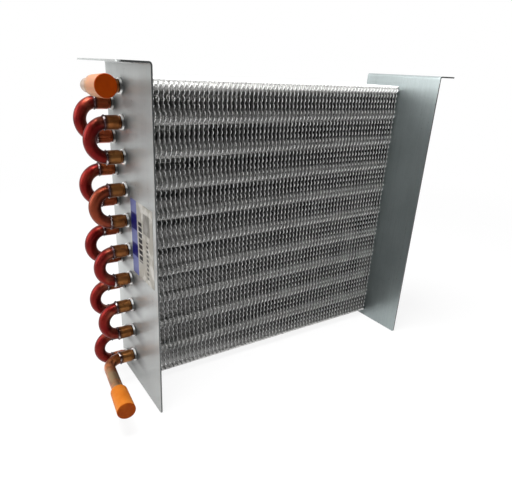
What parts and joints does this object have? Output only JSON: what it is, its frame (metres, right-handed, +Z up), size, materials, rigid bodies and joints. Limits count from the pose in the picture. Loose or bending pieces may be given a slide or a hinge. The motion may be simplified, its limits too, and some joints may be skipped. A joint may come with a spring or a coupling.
{
  "type": "refrigeration condenser",
  "caption": "Finned-tube refrigeration condenser: staggered copper tubes through aluminium fins between folded steel end plates, with capped pipe ends.",
  "frame": {"origin": "middle of the outer box in plan, on the surface that the two end plates stand on", "axes": "+X along the tubes from the connection side to the hairpin side, +Y the way the air leaves the fins, +Z up"},
  "size_m": [0.3532, 0.1068, 0.2724],
  "materials": {
    "galvanised_steel": "satin",
    "fin_aluminium": "satin",
    "copper_tube": "satin",
    "copper_bend": "satin",
    "braze_alloy": "satin",
    "cap_vinyl": "matte",
    "label_paper": "satin"
  },
  "bodies": {
    "root": {"left_end_plate": "galvanised_steel", "right_end_plate": "galvanised_steel", "fin_pack": "fin_aluminium", "hairpin_tube_01": "copper_tube", "hairpin_tube_02": "copper_tube", "hairpin_tube_03": "copper_tube", "hairpin_tube_04": "copper_tube", "hairpin_tube_05": "copper_tube", "hairpin_tube_06": "copper_tube", "hairpin_tube_07": "copper_tube", "hairpin_tube_08": "copper_tube", "hairpin_tube_09": "copper_tube", "hairpin_tube_10": "copper_tube", "return_bend_back_1": "copper_bend", "return_bend_back_2": "copper_bend", "return_bend_back_3": "copper_bend", "return_bend_back_4": "copper_bend", "return_bend_back_5": "copper_bend", "return_bend_front_1": "copper_bend", "return_bend_front_2": "copper_bend", "return_bend_front_3": "copper_bend", "return_bend_front_4": "copper_bend", "inlet_elbow": "copper_tube", "outlet_elbow": "copper_tube", "inlet_cap": "cap_vinyl", "outlet_cap": "cap_vinyl", "braze_rings": "braze_alloy", "label": "label_paper"}
  },
  "joints": []
}
